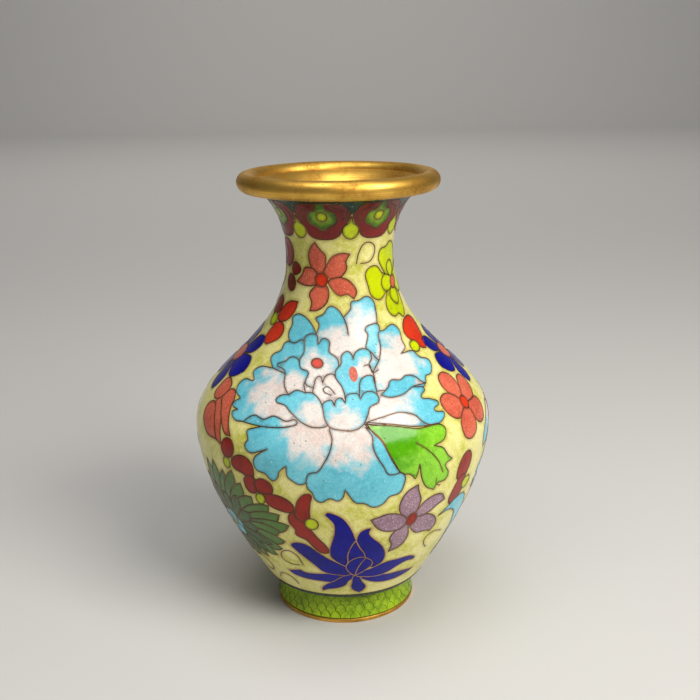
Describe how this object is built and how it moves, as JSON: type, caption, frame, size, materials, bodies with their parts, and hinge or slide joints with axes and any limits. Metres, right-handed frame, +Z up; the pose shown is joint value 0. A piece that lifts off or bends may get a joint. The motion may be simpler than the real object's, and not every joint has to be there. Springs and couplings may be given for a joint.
{
  "type": "cloisonne vase",
  "caption": "Baluster vase with a narrow neck, a thick rolled mouth ring and a low foot; copper body with wire-framed enamel flowers on a pale ground.",
  "frame": {"origin": "centre of the foot's resting plane", "axes": "+Z up along the vase's axis; -Y towards the large peony on the front"},
  "size_m": [0.0846, 0.0846, 0.127],
  "materials": {
    "copper": "matt hammered copper sheet",
    "gilding": "satin gilding, brushed, with brown patina",
    "cloison_wire": "thin copper wire, polished flush with the enamel",
    "lining_enamel": "plain fired enamel",
    "base_enamel": "plain fired enamel",
    "foot_enamel": "glossy bright green enamel",
    "ground_enamel": "glossy mottled pale yellow enamel",
    "peony_enamel": "glossy cyan enamel that turns pinkish white",
    "leaf_enamel": "glossy bright green enamel",
    "cobalt_enamel": "glossy deep cobalt enamel",
    "red_enamel": "glossy brick red enamel",
    "olive_enamel": "glossy dark green enamel",
    "coral_enamel": "glossy speckled coral enamel",
    "lilac_enamel": "glossy speckled lilac enamel",
    "yellow_enamel": "glossy yellow green enamel"
  },
  "bodies": {
    "root": {"back_lotus": "cobalt_enamel", "back_lotus_wire": "cloison_wire", "base_enamel": "base_enamel", "base_plate": "copper", "belly_lining": "lining_enamel", "belly_shell": "copper", "blue_flower_left": "cobalt_enamel", "blue_flower_left_wire": "cloison_wire", "blue_flower_right": "cobalt_enamel", "blue_flower_right_wire": "cloison_wire", "chrysanthemum": "olive_enamel", "chrysanthemum_wire": "cloison_wire", "coral_flower": "coral_enamel", "coral_flower_wire": "cloison_wire", "coral_leaves": "coral_enamel", "coral_leaves_wire": "cloison_wire", "foot_collar": "copper", "foot_enamel": "foot_enamel", "foot_ring": "gilding", "green_leaf": "leaf_enamel", "green_leaf_wire": "cloison_wire", "ground_enamel": "ground_enamel", "lilac_flower": "lilac_enamel", "lilac_flower_wire": "cloison_wire", "lotus": "cobalt_enamel", "lotus_wire": "cloison_wire", "mouth_ring": "gilding", "neck_flower": "coral_enamel", "neck_flower_wire": "cloison_wire", "neck_shell": "gilding", "peony": "peony_enamel", "peony_wire": "cloison_wire", "red_blossom_left": "red_enamel", "red_blossom_left_wire": "cloison_wire", "red_blossom_right": "red_enamel", "red_blossom_right_wire": "cloison_wire", "red_spray": "red_enamel", "red_spray_wire": "cloison_wire", "ruyi_drop_1": "yellow_enamel", "ruyi_drop_2": "yellow_enamel", "ruyi_drop_3": "yellow_enamel", "ruyi_drop_4": "yellow_enamel", "ruyi_drop_5": "yellow_enamel", "ruyi_drop_6": "yellow_enamel", "ruyi_drop_7": "yellow_enamel", "ruyi_head_1": "red_enamel", "ruyi_head_2": "red_enamel", "ruyi_head_3": "red_enamel", "ruyi_head_4": "red_enamel", "ruyi_head_5": "red_enamel", "ruyi_head_6": "red_enamel", "ruyi_head_7": "red_enamel", "shoulder_shell": "copper", "side_peony_left": "peony_enamel", "side_peony_left_wire": "cloison_wire", "side_peony_right": "peony_enamel", "side_peony_right_wire": "cloison_wire", "yellow_flower": "yellow_enamel", "yellow_flower_wire": "cloison_wire"}
  },
  "joints": []
}
